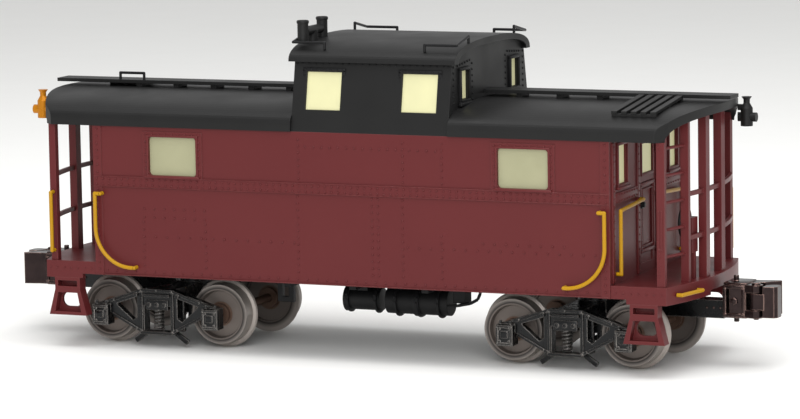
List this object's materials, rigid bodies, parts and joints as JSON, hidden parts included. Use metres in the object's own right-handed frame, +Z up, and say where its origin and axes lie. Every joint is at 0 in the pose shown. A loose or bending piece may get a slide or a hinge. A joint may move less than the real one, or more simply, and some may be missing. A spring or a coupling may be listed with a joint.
{
  "type": "model railway caboose",
  "caption": "Scale model railway caboose: riveted cabin with cupola, open end platforms, swivelling two-axle trucks and knuckle couplers.",
  "frame": {"origin": "middle of the car, at the bottoms of the wheel flanges", "axes": "+X along the car towards end A, +Y to the left side, +Z up"},
  "size_m": [0.235, 0.0656, 0.0954],
  "materials": {
    "maroon_plastic": "satin painted moulding",
    "black_plastic": "matt painted moulding",
    "black_frame": "matt",
    "lit_pane": "translucent, lit from inside",
    "black_wire": "satin",
    "yellow_wire": "gloss enamel",
    "gold_lamp": "painted gold",
    "black_casting": "blackened die casting",
    "blackened_coupler": "bronze-black plated",
    "wheel_steel": "dull turned steel"
  },
  "bodies": {
    "carbody": {"underframe": "black_frame", "platform_a": "maroon_plastic", "platform_b": "maroon_plastic", "steps_a": "maroon_plastic", "steps_b": "maroon_plastic", "side_wall_right": "maroon_plastic", "side_wall_left": "maroon_plastic", "end_wall_a": "maroon_plastic", "end_wall_b": "maroon_plastic", "door_a": "maroon_plastic", "door_b": "maroon_plastic", "roof": "black_plastic", "cupola": "black_plastic", "cupola_roof": "black_plastic", "running_boards": "black_plastic", "side_windows": "lit_pane", "end_windows": "lit_pane", "door_windows": "lit_pane", "cupola_windows": "lit_pane", "roof_grab_irons": "black_wire", "smoke_jack": "black_plastic", "marker_lamp_a": "black_plastic", "marker_lamp_b": "gold_lamp", "end_railing_a": "maroon_plastic", "end_railing_b": "maroon_plastic", "ladder_a": "maroon_plastic", "ladder_b": "maroon_plastic", "brake_stand_a": "maroon_plastic", "brake_stand_b": "maroon_plastic", "brake_wheel_a": "maroon_plastic", "brake_wheel_b": "maroon_plastic", "side_grab_irons": "yellow_wire", "end_handrails": "yellow_wire", "platform_grab_irons": "yellow_wire", "air_reservoir": "black_frame", "brake_cylinder": "black_frame", "brake_pipes": "black_frame", "lever_bracket": "black_frame"},
    "truck_a": {"truck_frame_a": "black_casting", "side_frames_a": "black_casting", "truck_springs_a": "black_casting", "brake_gear_a": "black_casting", "coupler_head_a": "blackened_coupler"},
    "knuckle_a": {"knuckle_a": "blackened_coupler"},
    "truck_b": {"truck_frame_b": "black_casting", "side_frames_b": "black_casting", "truck_springs_b": "black_casting", "brake_gear_b": "black_casting", "coupler_head_b": "blackened_coupler"},
    "knuckle_b": {"knuckle_b": "blackened_coupler"},
    "wheelset_a_outer": {"wheelset_a_outer": "wheel_steel"},
    "wheelset_a_inner": {"wheelset_a_inner": "wheel_steel"},
    "wheelset_b_inner": {"wheelset_b_inner": "wheel_steel"},
    "wheelset_b_outer": {"wheelset_b_outer": "wheel_steel"}
  },
  "joints": [
    {"name": "truck_a_swivel", "type": "hinge", "parent": "carbody", "child": "truck_a", "pos_m": [0.0627, 0, 0.015], "axis": [0, 0, 1], "range_deg": [-10, 10]},
    {"name": "knuckle_a_hinge", "type": "hinge", "parent": "truck_a", "child": "knuckle_a", "pos_m": [0.1111, -0.00374, 0.0187], "axis": [0, 0, -1], "range_deg": [0, 40]},
    {"name": "axle_a_outer_spin", "type": "hinge", "parent": "truck_a", "child": "wheelset_a_outer", "pos_m": [0.08015, 0, 0.01003], "axis": [0, 1, 0], "continuous": true},
    {"name": "axle_a_inner_spin", "type": "hinge", "parent": "truck_a", "child": "wheelset_a_inner", "pos_m": [0.04525, 0, 0.01003], "axis": [0, 1, 0], "continuous": true},
    {"name": "truck_b_swivel", "type": "hinge", "parent": "carbody", "child": "truck_b", "pos_m": [-0.0627, 0, 0.015], "axis": [0, 0, 1], "range_deg": [-10, 10]},
    {"name": "knuckle_b_hinge", "type": "hinge", "parent": "truck_b", "child": "knuckle_b", "pos_m": [-0.1111, 0.00374, 0.0187], "axis": [0, 0, -1], "range_deg": [0, 40]},
    {"name": "axle_b_outer_spin", "type": "hinge", "parent": "truck_b", "child": "wheelset_b_outer", "pos_m": [-0.08015, 0, 0.01003], "axis": [0, 1, 0], "continuous": true},
    {"name": "axle_b_inner_spin", "type": "hinge", "parent": "truck_b", "child": "wheelset_b_inner", "pos_m": [-0.04525, 0, 0.01003], "axis": [0, 1, 0], "continuous": true}
  ]
}
